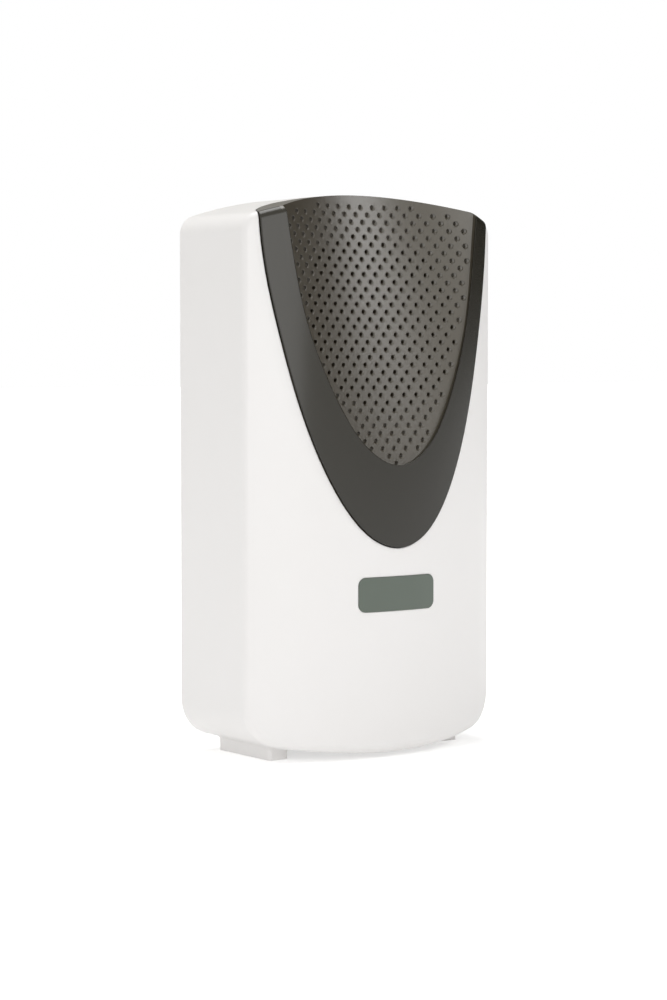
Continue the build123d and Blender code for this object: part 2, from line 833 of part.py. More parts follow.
# Four clamps on the bosses hold the loudspeaker's rim against its gasket
clamp_inner = speaker_radius - clamp_bite
clamp_outer = clamp_circle + clamp_tail
clamp_back_depth = flange_back_depth + clamp_thickness
with BuildPart() as speaker_clamps:
    with BuildSketch(speaker_face.offset(flange_back_depth)):
        clamp_middle = (clamp_inner + clamp_outer) / 2
        with PolarLocations(clamp_middle, clamp_count, start_angle=clamp_start_angle):
            RectangleRounded(clamp_outer - clamp_inner, clamp_width, clamp_corner_radius)
        with PolarLocations(clamp_circle, clamp_count, start_angle=clamp_start_angle):
            Circle(screw_radius + screw_clearance, mode=Mode.SUBTRACT)
    extrude(amount=clamp_thickness)
speaker_clamps.part.label = "speaker_clamps"


def screw(head, head_height, length, cone=0.0):
    """A screw with its tip down and its seat at the origin, or a countersunk one with its face there."""
    with BuildPart() as fastener:
        with BuildSketch(Plane.XZ):
            with BuildLine():
                if cone:
                    Polyline(
                        (0, 0), (head, 0), (screw_radius, screw_radius - head),
                        (screw_radius, -length), (0, -length), close=True,
                    )
                else:
                    Polyline(
                        (0, head_height), (head - screw_head_chamfer, head_height),
                        (head, head_height - screw_head_chamfer), (head, 0), (screw_radius, 0),
                        (screw_radius, -length), (0, -length), close=True,
                    )
            make_face()
        revolve(axis=Axis.Z)
        with BuildSketch(Plane.XY.offset(head_height)):
            Rectangle(cross_length, cross_width)
            Rectangle(cross_width, cross_length)
        extrude(amount=-cross_depth, mode=Mode.SUBTRACT)
    return fastener.part


with BuildPart() as speaker_screws:
    with Locations(speaker_face.offset(clamp_back_depth)):
        with PolarLocations(clamp_circle, clamp_count, start_angle=clamp_start_angle):
            add(screw(screw_head_radius, screw_head_height, clamp_screw_length))
speaker_screws.part.label = "speaker_screws"

# Rear cover: plate, battery bay, keyhole pockets and the board's standoffs
cover_face = Plane.XZ.offset(-back_y)
bay_middle = (0, (bay_floor_height + bay_top_height) / 2)
keyhole_places = [(side * keyhole_spacing / 2, keyhole_height) for side in (-1, 1)]
pocket_half = keyhole_head_radius + pocket_margin
pocket_low = keyhole_height - pocket_half
pocket_high = keyhole_height + keyhole_slot_rise + keyhole_slot_radius + pocket_margin
pocket_places = [(x, (pocket_low + pocket_high) / 2) for x, z in keyhole_places]
cover_screw_places = [
    (side * boss_x, z) for side in (-1, 1) for z in (boss_low_height, boss_high_height)
]
board_screw_places = [
    (side * board_screw_x, z) for side in (-1, 1) for z in (board_screw_low, board_screw_high)
]
pin_y = back_y - door_knuckle_radius
pin_z = bay_floor_height + door_gap + door_knuckle_radius
tab_y = cell_centre_y - contact_height / 2 + contact_thickness / 2
tab_places = [(side * cell_pitch * (cell_count - 1) / 2, tab_y) for side in (-1, 1)]
scoop_middle = (0, bay_top_height + scoop_height / 2)
with BuildPart() as rear_cover:
    with BuildSketch(cover_face):
        add(case_outline(case_wall + cover_gap))
    extrude(amount=cover_wall)
    with BuildSketch(cover_face):
        with Locations(bay_middle):
            Rectangle(2 * (bay_half_width + bay_wall), bay_length + 2 * bay_wall)
    extrude(amount=back_y - bay_outer_y)
    with BuildSketch(cover_face):
        with Locations(*pocket_places):
            Rectangle(2 * (pocket_half + pocket_wall), pocket_high - pocket_low + 2 * pocket_wall)
    extrude(amount=pocket_depth + pocket_wall)
    with BuildSketch(cover_face):
        with Locations(bay_middle):
            Rectangle(2 * bay_half_width, bay_length)
    extrude(amount=back_y - bay_inner_y, mode=Mode.SUBTRACT)
    with BuildSketch(Plane.XZ.offset(-cover_inner_y)):
        with Locations(*pocket_places):
            Rectangle(2 * pocket_half, pocket_high - pocket_low)
    extrude(amount=pocket_depth - cover_wall, mode=Mode.SUBTRACT)
    with BuildSketch(cover_face):
        for x, z in keyhole_places:
            with Locations((x, z)):
                Circle(keyhole_head_radius)
            with Locations((x, z + keyhole_slot_rise)):
                Circle(keyhole_slot_radius)
            with Locations((x, z + keyhole_slot_rise / 2)):
                Rectangle(2 * keyhole_slot_radius, keyhole_slot_rise)
    extrude(amount=cover_wall, mode=Mode.SUBTRACT)
    with BuildSketch(Plane.XZ.offset(-bay_outer_y)):
        with Locations(*board_screw_places):
            Circle(standoff_radius)
    extrude(amount=standoff_height)
    with BuildSketch(Plane.XZ.offset(-board_back_y)):
        with Locations(*board_screw_places):
            Circle(screw_radius + screw_pilot_gap)
    extrude(amount=-standoff_height, mode=Mode.SUBTRACT)
    with Locations(*[Plane(origin=(x, back_y, z), z_dir=(0, 1, 0)) for x, z in cover_screw_places]):
        CounterSinkHole(
            screw_radius + screw_clearance, cover_screw_head_radius + screw_pilot_gap + cover_screw_sink,
            depth=cover_wall, counter_sink_angle=cover_screw_cone_angle,
        )
    with BuildSketch(Plane.YZ):
        with Locations((pin_y, pin_z)):
            Circle(door_pin_radius + door_pin_clearance)
    extrude(amount=bay_half_width + door_pin_length, both=True, mode=Mode.SUBTRACT)
    with BuildSketch(Plane.XY.offset(bay_floor_height)):
        with Locations(*tab_places):
            Rectangle(contact_tab_width + 2 * contact_tab_gap, contact_thickness + 2 * contact_tab_gap)
    extrude(amount=-bay_wall, mode=Mode.SUBTRACT)
    with BuildSketch(cover_face):
        with Locations(scoop_middle):
            RectangleRounded(scoop_width, scoop_height, scoop_corner_radius)
    extrude(amount=scoop_depth, mode=Mode.SUBTRACT)
rear_cover.part.label = "rear_cover"

with BuildPart() as cover_screws:
    faces = [
        Plane(origin=(x, back_y - cover_screw_sink, z), z_dir=(0, 1, 0)) for x, z in cover_screw_places
    ]
    with Locations(*faces):
        add(screw(cover_screw_head_radius, 0.0, cover_screw_length, cone=cover_screw_cone_angle))
cover_screws.part.label = "cover_screws"

# Battery door: a slab with a round lower edge, two stub pins, finger grooves and a springy latch tongue
door_half = bay_half_width - door_gap
door_high = bay_top_height - door_gap
slit_x = latch_width / 2 + latch_slit / 2
with BuildPart() as battery_door:
    with BuildSketch(Plane.YZ.offset(-door_half)):
        with Locations(((door_inner_y + back_y) / 2, (pin_z + door_high) / 2)):
            Rectangle(door_thickness, door_high - pin_z)
        with Locations((pin_y, pin_z)):
            Circle(door_knuckle_radius)
    extrude(amount=2 * door_half)
    for side in (-1, 1):
        with BuildSketch(Plane.YZ.offset(side * door_half)):
            with Locations((pin_y, pin_z)):
                Circle(door_pin_radius)
        extrude(amount=side * door_pin_length)
    with BuildSketch(cover_face):
        with Locations(*[(side * slit_x, door_high - latch_drop / 2) for side in (-1, 1)]):
            Rectangle(latch_slit, latch_drop)
    extrude(amount=door_thickness, mode=Mode.SUBTRACT)
    with BuildSketch(Plane.XY.offset(door_high)):
        with Locations((0, door_inner_y + latch_nose_depth / 2)):
            Rectangle(latch_width, latch_nose_depth)
    extrude(amount=latch_nose_height)
    with BuildSketch(cover_face):
        with Locations((0, door_high - latch_drop - groove_pitch * groove_count / 2)):
            with GridLocations(0, groove_pitch, 1, groove_count):
                Rectangle(groove_length, groove_width)
    extrude(amount=groove_depth, mode=Mode.SUBTRACT)
battery_door.part.label = "battery_door"

# Cells in series, every second one upside down: (x, its foot's height, +1 for its nub up)
cells = []
for index in range(cell_count):
    cell_x = (index - (cell_count - 1) / 2) * cell_pitch
    nub_up = index % 2 == 0
    foot = bay_floor_height + contact_thickness
    foot = foot + (spring_length if nub_up else contact_bump_height)
    cells.append((cell_x, foot, nub_up))

cell_parts = []
for index, (cell_x, foot, nub_up) in enumerate(cells):
    body_low = foot if nub_up else foot + cell_nub_height
    nub_low = foot + cell_length - cell_nub_height if nub_up else foot
    with BuildPart() as cell:
        with BuildSketch(Plane.XY.offset(body_low)):
            with Locations((cell_x, cell_centre_y)):
                Circle(cell_radius)
        extrude(amount=cell_length - cell_nub_height)
        fillet(cell.edges().filter_by(GeomType.CIRCLE), cell_edge_radius)
        with BuildSketch(Plane.XY.offset(nub_low)):
            with Locations((cell_x, cell_centre_y)):
                Circle(cell_nub_radius)
        extrude(amount=cell_nub_height)
    cell.part.label = f"battery_cell_{index + 1}"
    cell_parts.append(cell)

# Contact plates: one strip at the top over each pair, one at the bottom over the middle pair,
# and a single plate with a solder tab through the bay's floor at each end of the chain
contact_floor = bay_floor_height
contact_roof = bay_top_height - contact_thickness
with BuildPart() as contact_plates:
    with BuildSketch(Plane.XY.offset(contact_roof)):
        with Locations(*[(side * cell_pitch, cell_centre_y) for side in (-1, 1)]):
            Rectangle(cell_pitch + contact_width, contact_height)
    extrude(amount=contact_thickness)
    with BuildSketch(Plane.XY.offset(contact_floor)):
        with Locations((0, cell_centre_y)):
            Rectangle(cell_pitch + contact_width, contact_height)
        with Locations(*[(x, cell_centre_y) for x, y in tab_places]):
            Rectangle(contact_width, contact_height)
    extrude(amount=contact_thickness)
    with BuildSketch(Plane.XY.offset(contact_floor)):
        with Locations(*tab_places):
            Rectangle(contact_tab_width, contact_thickness)
    extrude(amount=-contact_tab_length)
    for cell_x, foot, nub_up in cells:
        bump_side = -1 if nub_up else 1
        bump_base = contact_roof if nub_up else contact_floor + contact_thickness
        with BuildSketch(Plane.XY.offset(bump_base)):
            with Locations((cell_x, cell_centre_y)):
                Circle(contact_bump_radius)
        extrude(amount=bump_side * contact_bump_height)
contact_plates.part.label = "contact_plates"

# Contact springs at the cells' flat ends, as thin tapered sleeves of the coils' outer shape
with BuildPart() as contact_springs:
    for cell_x, foot, nub_up in cells:
        wide_end = foot - spring_length if nub_up else foot + cell_length + spring_length
        narrow_end = foot if nub_up else foot + cell_length
        with BuildSketch(Plane.XZ.offset(-cell_centre_y)):
            with BuildLine():
                Polyline(
                    (cell_x + spring_base_radius, wide_end), (cell_x + spring_tip_radius, narrow_end),
                    (cell_x + spring_tip_radius - spring_wire, narrow_end),
                    (cell_x + spring_base_radius - spring_wire, wide_end), close=True,
                )
            make_face()
        revolve(axis=Axis((cell_x, cell_centre_y, 0), (0, 0, 1)))
contact_springs.part.label = "contact_springs"

# Main board and what stands on its front
board_face = Plane.XZ.offset(-board_front_y)
switch_places = [(board_half_width - switch_length / 2, z) for z in button_heights]


def on_board(places, width, height, low, thickness):
    """Blocks on the board's front, from low upwards, in the active part."""
    with BuildSketch(board_face.offset(low)) as block:
        with Locations(*places):
            Rectangle(width, height)
    extrude(block.sketch, amount=thickness)


with BuildPart() as main_board:
    with BuildSketch(board_face):
        with Locations((0, (board_low_height + board_high_height) / 2)):
            Rectangle(2 * board_half_width, board_high_height - board_low_height)
        with Locations(*board_screw_places):
            Circle(screw_radius + screw_clearance, mode=Mode.SUBTRACT)
    extrude(amount=-board_thickness)
main_board.part.label = "main_board"

with BuildPart() as board_screws:
    with Locations(*[Plane(origin=(x, board_front_y, z), z_dir=(0, -1, 0)) for x, z in board_screw_places]):
        add(screw(screw_head_radius, screw_head_height, board_screw_length))
board_screws.part.label = "board_screws"

chip_pins = GridLocations(pin_pitch, 0, pin_count, 1).locations
pin_places = [(chip_x + pin.position.X, chip_z) for pin in chip_pins]
with BuildPart() as sound_chip:
    on_board([(chip_x, chip_z)], chip_length, chip_width, pin_thickness / 2, chip_height)
    on_board(pin_places, pin_width, chip_width + 2 * pin_reach, 0, pin_thickness)
    on_board(pin_places, pin_width, chip_width + pin_reach, 0, chip_height / 2)
sound_chip.part.label = "sound_chip"

module_front = module_lift + module_thickness
header_low = module_z - module_height / 2 + header_pitch
header_places = [
    (module_x + pin.position.X, header_low) for pin in GridLocations(header_pitch, 0, header_count, 1)
]
with BuildPart() as radio_module:
    on_board([(module_x, module_z)], module_width, module_height, module_lift, module_thickness)
    on_board(header_places, header_width, header_width, 0, module_front + module_lift)
    on_board([(module_x, module_z)], crystal_length, crystal_width, module_front, crystal_height)
    on_board(
        [(module_x, module_z + module_height / 2 - coil_can_size)],
        coil_can_size, coil_can_size, module_front, coil_can_height,
    )
radio_module.part.label = "radio_module"

with BuildPart() as capacitors:
    for side in (-1, 1):
        with BuildSketch(board_face):
            with Locations((capacitor_x + side * capacitor_spacing / 2, capacitor_z)):
                Circle(capacitor_radius)
        extrude(amount=capacitor_height)
    fillet(capacitors.faces().sort_by(Axis.Y)[:2].edges(), capacitor_edge_radius)
capacitors.part.label = "capacitors"

with BuildPart() as lead_sockets:
    socket_places = [(speaker_socket_x, speaker_socket_z), (battery_socket_x, battery_socket_z)]
    on_board(socket_places, socket_width, socket_height, 0, socket_depth)
lead_sockets.part.label = "lead_sockets"

with BuildPart() as tact_switches:
    on_board(switch_places, switch_length, switch_width, 0, switch_depth)
    with BuildSketch(Plane.YZ.offset(board_half_width)):
        with Locations(*[(button_y, z) for z in button_heights]):
            Circle(plunger_radius + plunger_clearance)
    extrude(amount=-switch_bore_depth, mode=Mode.SUBTRACT)
tact_switches.part.label = "tact_switches"

# Side buttons, each with the plunger of the switch behind it
button_face_x = half_width - button_sink
button_flange_x = half_width - case_wall - button_flange_gap
plunger_end_x = board_half_width + plunger_reach
plunger_start_x = board_half_width - switch_bore_depth + button_travel + plunger_clearance
button_parts = []
for button_name, z in zip(("volume", "melody"), button_heights):
    with BuildPart() as button:
        with BuildSketch(Plane.YZ.offset(plunger_end_x)):
            with Locations((button_y, z)):
                Circle(button_stem_radius)
        extrude(amount=button_flange_x - plunger_end_x)
        with BuildSketch(Plane.YZ.offset(button_flange_x - button_flange_thickness)):
            with Locations((button_y, z)):
                Circle(button_flange_radius)
        extrude(amount=button_flange_thickness)
        with BuildSketch(Plane.YZ.offset(button_flange_x)):
            with Locations((button_y, z)):
                Circle(button_radius)
        extrude(amount=button_face_x - button_flange_x)
        fillet(button.faces().sort_by(Axis.X)[-1].edges(), button_edge_radius)
    button.part.label = f"{button_name}_button"
    button_parts.append(button)
    with BuildPart() as plunger:
        with BuildSketch(Plane.YZ.offset(plunger_start_x)):
            with Locations((button_y, z)):
                Circle(plunger_radius)
        extrude(amount=plunger_end_x - plunger_start_x)
    plunger.part.label = f"{button_name}_plunger"
    button_parts.append(plunger)


def wire(points, radius, bend):
    """A wire along straight runs joined by arcs, with the share of its tube's volume that the solid has."""
    with BuildPart() as run:
        with BuildLine():
            route = FilletPolyline(*points, radius=bend)
        with BuildSketch(Plane(origin=route @ 0, z_dir=route % 0)):
            Circle(radius)
        sweep(path=route)
    share = run.part.volume / (pi * radius**2 * route.length)
    print(f"wire {route.length:.1f} mm long, solid to tube {share:.4f}")
    return run.part


# Leads from the loudspeaker's tags, down and back to their socket
socket_y = board_front_y - socket_depth / 2
tag_end = strip_middle + tag_length
down = lean_up * -1
with BuildPart() as speaker_leads:
    for side in (-1, 1):
        start = recess_centre + inward * tag_depth + down * tag_end + Vector(side * tag_spacing / 2, 0, 0)
        drop = start + down * lead_drop
        socket_x = speaker_socket_x + side * lead_spacing / 2
        socket_top = speaker_socket_z + socket_height / 2
        add(wire(
            [start, drop, Vector(socket_x, socket_y, socket_top + lead_rise), Vector(socket_x, socket_y, socket_top)],
            lead_radius, lead_bend_radius,
        ))
speaker_leads.part.label = "speaker_leads"

# Leads from the contact tabs, under the battery bay and up to their socket
with BuildPart() as battery_leads:
    for side, (x, y) in zip((-1, 1), tab_places):
        tab_low = bay_floor_height - contact_tab_length
        low = tab_low - lead_under_bay
        socket_x = battery_socket_x + side * lead_spacing / 2
        add(wire(
            [
                Vector(x, y, tab_low), Vector(x, y, low), Vector(socket_x, socket_y, low),
                Vector(socket_x, socket_y, battery_socket_z - socket_height / 2),
            ],
            lead_radius, lead_bend_radius,
        ))
battery_leads.part.label = "battery_leads"

# Antenna: a stiff wire from the radio module, back past the loudspeaker and up beside the wall
antenna_x = module_x - module_width / 2 + antenna_edge
antenna_y = board_front_y - module_lift - module_thickness / 2
antenna_rise_x = antenna_wall_gap - half_width + case_wall
with BuildPart() as antenna_wire:
    add(wire(
        [
            Vector(antenna_x, antenna_y, module_z + module_height / 2),
            Vector(antenna_x, antenna_y, antenna_step_height),
            Vector(antenna_rise_x, antenna_rise_y, antenna_step_height + antenna_step),
            Vector(antenna_rise_x, antenna_rise_y, antenna_top_height),
        ],
        antenna_radius, antenna_bend_radius,
    ))
antenna_wire.part.label = "antenna_wire"

finished = [
    front_housing, front_plate, grille_shield, acoustic_cloth, speaker_gasket, speaker_frame,
    speaker_top_plate, speaker_magnet, speaker_yoke, voice_coil, speaker_cone, dust_cap,
    speaker_surround, speaker_spider, speaker_tag_strip, speaker_clamps, speaker_screws,
    rear_cover, cover_screws, battery_door, *cell_parts, contact_plates, contact_springs,
    main_board, board_screws, sound_chip, radio_module, capacitors, lead_sockets, tact_switches,
    *button_parts, speaker_leads, battery_leads, antenna_wire,
]
for piece in finished:
    export_step(piece.part, f"parts/{piece.part.label}.step")
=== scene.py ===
# %% [markdown]
# # A wireless doorbell's chime box
# The box is a bowed white case of moulded ABS with a dark, tongue-shaped grille shield over its loudspeaker.
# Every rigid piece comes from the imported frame, at its real size. This file dresses those pieces in
# materials, winds the battery springs, and lights and frames the box as a catalogue picture would.

# %% Frame
from math import atan, cos, pi, radians, sin, tau

import bpy
import numpy as np
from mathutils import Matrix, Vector


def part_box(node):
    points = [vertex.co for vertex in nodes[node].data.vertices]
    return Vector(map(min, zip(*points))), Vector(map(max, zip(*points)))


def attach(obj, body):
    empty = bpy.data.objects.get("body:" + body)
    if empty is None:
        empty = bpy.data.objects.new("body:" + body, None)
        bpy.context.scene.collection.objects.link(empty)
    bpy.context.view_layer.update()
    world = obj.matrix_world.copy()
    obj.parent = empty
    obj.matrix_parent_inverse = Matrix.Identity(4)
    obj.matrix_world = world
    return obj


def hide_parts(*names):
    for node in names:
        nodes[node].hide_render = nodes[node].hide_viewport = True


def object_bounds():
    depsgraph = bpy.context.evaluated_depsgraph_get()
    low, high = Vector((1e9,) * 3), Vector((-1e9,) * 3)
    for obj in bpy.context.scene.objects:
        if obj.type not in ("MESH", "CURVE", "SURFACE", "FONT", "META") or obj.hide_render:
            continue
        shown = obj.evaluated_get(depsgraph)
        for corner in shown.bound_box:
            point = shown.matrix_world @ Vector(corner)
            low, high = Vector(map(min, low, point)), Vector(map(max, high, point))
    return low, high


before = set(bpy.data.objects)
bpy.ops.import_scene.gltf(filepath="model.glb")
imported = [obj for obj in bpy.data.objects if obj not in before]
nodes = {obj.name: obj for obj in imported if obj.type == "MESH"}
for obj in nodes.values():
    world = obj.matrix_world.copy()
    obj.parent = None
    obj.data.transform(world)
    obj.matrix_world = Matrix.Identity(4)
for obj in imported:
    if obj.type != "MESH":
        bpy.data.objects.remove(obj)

scene = bpy.context.scene
cad_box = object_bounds()
MM = 0.001
print("pieces in the frame:", len(nodes))

# %% [markdown]
# ## Camera
# The camera is settled first, because every look is judged through it. Its place and its long lens come from
# the case's own upright edges and arcs. It stands to the left of the box, level with the grille, and the
# case fills the lower middle of the frame, so the camera dips by the angle of that offset.

# %% Camera
CAMERA_PLACE = (-429.5 * MM, -579.3 * MM, 112.5 * MM)
CAMERA_TURN = radians(-36.165)
FRAME_HEIGHT = 1000
FOCAL_PIXELS = 2557
HORIZON_PIXEL = 350.2
SENSOR = 36.0

camera_data = bpy.data.cameras.new("product_camera")
camera_data.sensor_fit = "VERTICAL"
camera_data.sensor_height = SENSOR
camera_data.lens = SENSOR * FOCAL_PIXELS / FRAME_HEIGHT
camera_data.clip_start = 0.01
camera = bpy.data.objects.new("product_camera", camera_data)
dip = atan((FRAME_HEIGHT / 2 - HORIZON_PIXEL) / FOCAL_PIXELS)
camera.location = CAMERA_PLACE
camera.rotation_euler = (radians(90) - dip, 0, CAMERA_TURN)
scene.collection.objects.link(camera)
scene.camera = camera
print(f"lens {camera_data.lens:.1f} mm, dip {dip / radians(1):.2f} degrees")

# %% [markdown]
# ## Colours and nodes
# Colours are read off as sRGB hex values, the way a colour card gives them, and shaders want linear light.
# One function does that conversion. Another adds a shader node, sets its values and links its inputs, which
# keeps each material down to the lines that say something about the finish.

# %% Helpers for colours and nodes
def linear(code):
    """An sRGB hex colour as linear RGBA.

    A channel c up to 0.04045 becomes c / 12.92, and one above it ((c + 0.055) / 1.055) ** 2.4.
    """
    channels = [int(code[i:i + 2], 16) / 255 for i in (1, 3, 5)]
    return tuple(c / 12.92 if c <= 0.04045 else ((c + 0.055) / 1.055) ** 2.4 for c in channels) + (1.0,)


def add_node(tree, kind, links=None, **values):
    """Adds a node of this kind.

    Values are its settings or its sockets' constants, and links feed its sockets, by name or by number.
    """
    made = tree.nodes.new(kind)
    for name, value in values.items():
        if hasattr(made, name):
            setattr(made, name, value)
    for name, value in values.items():
        if not hasattr(made, name):
            made.inputs[name.replace("_", " ")].default_value = value
    for name, source in (links or {}).items():
        socket = made.inputs[name if isinstance(name, int) else name.replace("_", " ")]
        tree.links.new(source, socket)
    return made


# %% [markdown]
# ## Patterns
# Every pattern runs on the object's own coordinates, which are metres here because each piece lies unmoved at
# the origin. A pattern's size can then be given in real millimetres, and it stays on the piece in every view.

# %% Helpers for patterns
# Noise runs from 0 to 1 but seldom leaves this middle part
NOISE_LOW = 0.3
NOISE_HIGH = 0.7


def start_material(name):
    """An empty material with its output and the object's own coordinates, in metres."""
    material = bpy.data.materials.new(name)
    material.use_nodes = True
    tree = material.node_tree
    tree.nodes.clear()
    output = add_node(tree, "ShaderNodeOutputMaterial")
    place = add_node(tree, "ShaderNodeTexCoord").outputs["Object"]
    return material, tree, output, place


def noise(tree, place, size_mm, detail=2.0, roughness=0.5):
    """Noise whose blotches are about size_mm across."""
    made = add_node(
        tree, "ShaderNodeTexNoise", {"Vector": place},
        Scale=1 / (size_mm * MM), Detail=detail, Roughness=roughness,
    )
    return made.outputs["Fac"]


def remap(tree, value, low, high, out_low, out_high):
    """Maps low..high of a value to out_low..out_high and clamps it there."""
    made = add_node(tree, "ShaderNodeMapRange", {"Value": value}, clamp=True)
    made.inputs["From Min"].default_value = low
    made.inputs["From Max"].default_value = high
    made.inputs["To Min"].default_value = out_low
    made.inputs["To Max"].default_value = out_high
    return made.outputs["Result"]


def two_colours(tree, share, first, second):
    """The first hex colour where share is 0, the second where it is 1."""
    made = add_node(tree, "ShaderNodeMix", {0: share}, data_type="RGBA")
    made.inputs[6].default_value = linear(first)
    made.inputs[7].default_value = linear(second)
    return made.outputs[2]


# %% [markdown]
# ## Relief and finish
# A moulded piece is never quite flat and has no edge of zero radius. A bump gives it grain of a real depth,
# and a bevelled normal rounds the edges that catch the light. Most finishes here differ only in their
# numbers, so one function makes them: two near colours in blotches, a gloss that swings a little, and grain.

# %% Helpers for finishes
def bump(tree, height, depth_mm, normal=None):
    """Turns a 0..1 height into a normal for relief depth_mm deep."""
    links = {"Height": height}
    if normal:
        links["Normal"] = normal
    return add_node(tree, "ShaderNodeBump", links, Strength=1.0, Distance=depth_mm * MM).outputs["Normal"]


def soft_edges(tree, radius_mm):
    """A normal that rounds every edge by radius_mm, as a mould does."""
    return add_node(tree, "ShaderNodeBevel", samples=4, Radius=radius_mm * MM).outputs["Normal"]


def finish(
    name, pale, deep, blotch_mm, roughness, swing, grain_mm, grain_depth_mm,
    edge_mm=0.0, **shader_values,
):
    """A surface whose colour drifts between two hex values, with grain in its relief and its gloss."""
    material, tree, output, place = start_material(name)
    blotches = noise(tree, place, blotch_mm, detail=3.0)
    grain = noise(tree, place, grain_mm, detail=2.0)
    edge = soft_edges(tree, edge_mm) if edge_mm else None
    shader = add_node(
        tree, "ShaderNodeBsdfPrincipled",
        {
            "Base_Color": two_colours(tree, blotches, pale, deep),
            "Roughness": remap(tree, grain, NOISE_LOW, NOISE_HIGH, roughness - swing, roughness + swing),
            "Normal": bump(tree, grain, grain_depth_mm, edge),
        },
        **shader_values,
    )
    tree.links.new(shader.outputs[0], output.inputs["Surface"])
    return material


def dress(material, *names):
    """Puts a material on these CAD nodes."""
    for name in names:
        slots = nodes[name].data.materials
        slots.clear()
        slots.append(material)


# %% [markdown]
# ## White case
# The case is injection-moulded ABS from a polished mould, so it is smooth, slightly warm white, and glossy
# only softly: highlights are broad. Real mouldings are never perfectly even, so the colour drifts by about a
# hundredth and a very shallow ripple, a few millimetres across, keeps the reflections alive. The rear cover
# and its door come from a spark-eroded mould, which gives them a fine matt grain. Real grain of that kind is
# 0.1 to 0.2 mm wide, and is drawn about three times as coarse, so that it shows at all. Pictures wrapped
# round the case would do too, but noise in real millimetres needs no file and has no seams.

# %% Case materials
case_abs = finish(
    "polished_white_abs", "#F2F0EF", "#F0EEEC", blotch_mm=40, roughness=0.34, swing=0.02, grain_mm=5.0,
    grain_depth_mm=0.002, edge_mm=0.35, IOR=1.53,
)
rear_abs = finish(
    "textured_white_abs", "#ECEAE7", "#E6E4E0", blotch_mm=25, roughness=0.55, swing=0.06, grain_mm=0.45,
    grain_depth_mm=0.03, edge_mm=0.25, IOR=1.53,
)
dress(case_abs, "front_housing", "volume_button", "melody_button")
dress(rear_abs, "rear_cover", "battery_door")
print("case dressed in", case_abs.name, "and", rear_abs.name)

# %% [markdown]
# ## Grille shield
# The shield is one dark grey moulding with two finishes from one mould. Its border is polished and mirrors
# the studio, and the recess with the holes is spark-eroded, so it stays matt. The frame's mesh is one piece,
# so a single material mixes both finishes and tells them apart by place. The border lies on the upright
# cylinder of the case's bowed front, and anything sunk below it by more than a few tenths of a millimetre
# belongs to the recess. The border's rounded top edge sinks too, but lies further from the middle than the
# recess is wide, and so stays polished. Moulded ABS has an index near 1.5. The recess gets 1.8, because its
# real sheen is stronger than plain grain would give. Spark-eroded grain is 0.1 to 0.2 mm wide, too fine to
# show here, so it is drawn at half a millimetre.

# %% Shield material
FRONT_RADIUS = 77.1 * MM
RECESS_STEP = 0.35 * MM
RECESS_HALF_WIDTH = 33.6 * MM
GRAIN_MM = 0.5
GRAIN_DEPTH_MM = 0.035
RIPPLE_MM = 6.0
RIPPLE_DEPTH_MM = 0.002
DRIFT_MM = 30
MATT_EDGE_MM = 0.2
POLISHED_EDGE_MM = 0.3
shield_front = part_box("grille_shield")[0].y


def shield_finish():
    """The cover's material: matt where it is sunk and inside the recess's width, polished elsewhere."""
    material, tree, output, place = start_material("dark_grey_abs_two_textures")
    from_axis = add_node(tree, "ShaderNodeMapping", {"Vector": place})
    from_axis.inputs["Location"].default_value = (0, -(shield_front + FRONT_RADIUS), 0)
    from_axis.inputs["Scale"].default_value = (1, 1, 0)
    radius = add_node(
        tree, "ShaderNodeVectorMath", {0: from_axis.outputs["Vector"]}, operation="LENGTH"
    ).outputs["Value"]
    edge = FRONT_RADIUS - RECESS_STEP
    sunk = remap(tree, radius, edge, edge - RECESS_STEP, 0.0, 1.0)
    sideways = add_node(tree, "ShaderNodeSeparateXYZ", {0: place}).outputs["X"]
    off_middle = add_node(tree, "ShaderNodeMath", {0: sideways}, operation="ABSOLUTE").outputs[0]
    inside = remap(tree, off_middle, RECESS_HALF_WIDTH, RECESS_HALF_WIDTH + RECESS_STEP, 1.0, 0.0)
    in_recess = add_node(tree, "ShaderNodeMath", {0: sunk, 1: inside}, operation="MULTIPLY").outputs[0]
    grain = noise(tree, place, GRAIN_MM)
    ripple = noise(tree, place, RIPPLE_MM)
    drift = noise(tree, place, DRIFT_MM)
    grained = bump(tree, grain, GRAIN_DEPTH_MM, soft_edges(tree, MATT_EDGE_MM))
    polished = bump(tree, ripple, RIPPLE_DEPTH_MM, soft_edges(tree, POLISHED_EDGE_MM))
    matt = add_node(
        tree, "ShaderNodeBsdfPrincipled",
        {"Base_Color": two_colours(tree, drift, "#393327", "#373125"), "Normal": grained},
        Roughness=0.37, IOR=1.8,
    )
    gloss = add_node(
        tree, "ShaderNodeBsdfPrincipled",
        {"Base_Color": two_colours(tree, drift, "#221F16", "#201D14"), "Normal": polished},
        Roughness=0.2, IOR=1.49,
    )
    both = add_node(
        tree, "ShaderNodeMixShader", {0: in_recess, 1: gloss.outputs[0], 2: matt.outputs[0]}
    )
    tree.links.new(both.outputs[0], output.inputs["Surface"])
    return material


dress(shield_finish(), "grille_shield")
print(f"the shield turns matt where it is sunk by {RECESS_STEP / MM:.2f} to {2 * RECESS_STEP / MM:.2f} mm")

# %% [markdown]
# ## Plate
# The small plate is a plain piece of lacquered aluminium, grey with a hint of green. The lacquer hides the
# metal, so to the eye it isn't metal but paint, with a soft clear coat over it.

# %% Plate material
plate_lacquer = finish(
    "lacquered_aluminium_plate", "#586258", "#545E54", blotch_mm=8, roughness=0.38, swing=0.03,
    grain_mm=0.4, grain_depth_mm=0.004, edge_mm=0.25, Coat_Weight=0.3, Coat_Roughness=0.15,
)
dress(plate_lacquer, "front_plate")
print("plate dressed in", plate_lacquer.name)

